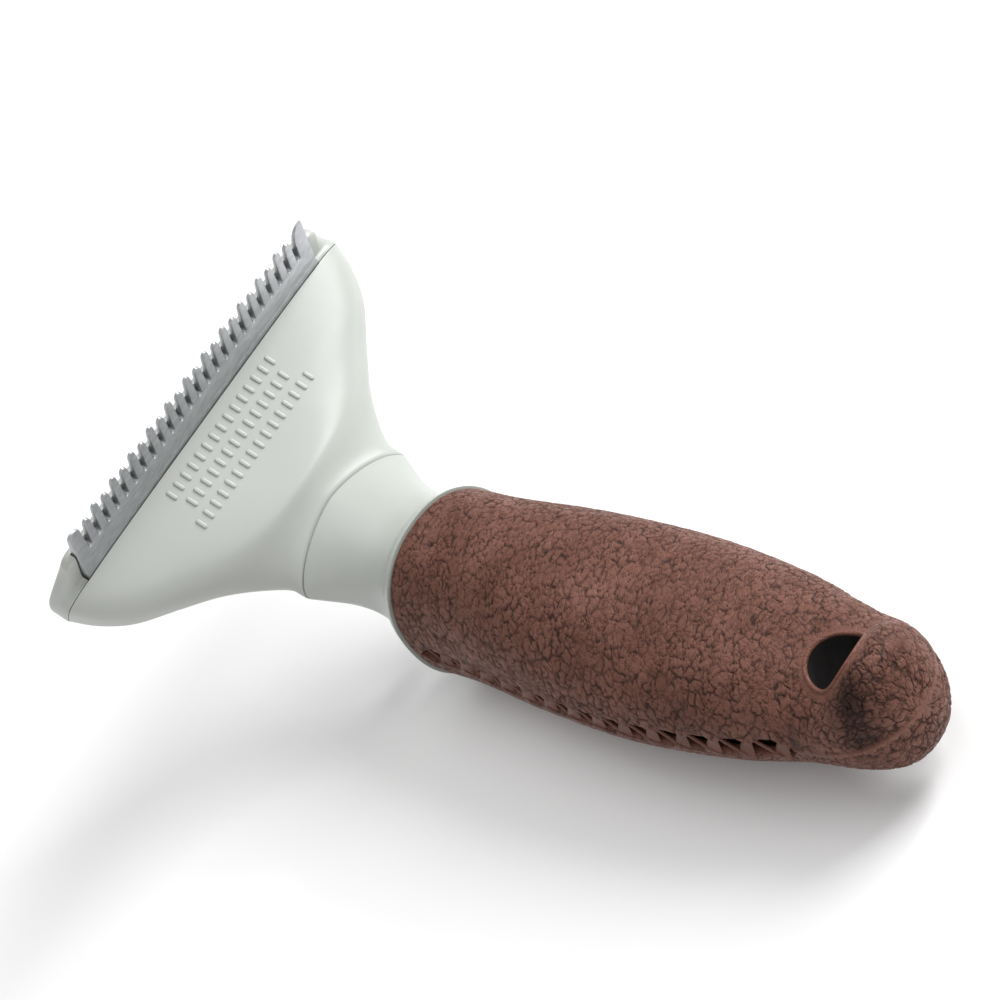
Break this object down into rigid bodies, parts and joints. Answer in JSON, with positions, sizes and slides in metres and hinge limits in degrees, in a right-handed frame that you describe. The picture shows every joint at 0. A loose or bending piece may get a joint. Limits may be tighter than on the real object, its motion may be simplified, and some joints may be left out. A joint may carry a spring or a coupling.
{
  "type": "deshedding tool",
  "caption": "Hand-held deshedding tool for pets: wide toothed steel blade in a white head that plugs into a curved leather-look grip with laced sides and a hanging hole.",
  "frame": {"origin": "Middle of the hanging hole, on the grip's middle plane.", "axes": "+X runs from the head to the end of the grip. +Y runs along the blade. +Z is the face side, which faces the animal; the tool lies on the back of its grip."},
  "size_m": [0.1644, 0.0828, 0.0649],
  "materials": {
    "white_plastic": "satin",
    "blade_steel": "satin",
    "zinc_steel": "plain",
    "black_plastic": "matte",
    "grip_brown": "leather grain",
    "lace_brown": "plain"
  },
  "bodies": {
    "handle": {"neck_collar": "white_plastic", "latch_spring": "blade_steel", "core_face_half": "black_plastic", "core_back_half": "black_plastic", "core_screws": "zinc_steel", "grip_face_cover": "grip_brown", "grip_back_cover": "grip_brown", "lace_left": "lace_brown", "lace_right": "lace_brown", "hang_eyelet": "black_plastic"},
    "head": {"head_face_shell": "white_plastic", "head_back_shell": "white_plastic", "blade": "blade_steel", "blade_clamp": "zinc_steel", "blade_screws": "zinc_steel", "shell_screws": "zinc_steel", "head_tongue": "white_plastic"},
    "button": {"release_button": "black_plastic"}
  },
  "joints": [
    {"name": "head_release", "type": "slide", "parent": "handle", "child": "head", "axis": [-1, 0, 0], "range_m": [0, 0.016], "deforming": ["latch_spring"]},
    {"name": "button_press", "type": "slide", "parent": "handle", "child": "button", "axis": [0, 0, 1], "range_m": [0, 0.0012], "stiffness_N_per_m": 800, "springref_m": -0.002, "deforming": ["latch_spring"]}
  ]
}
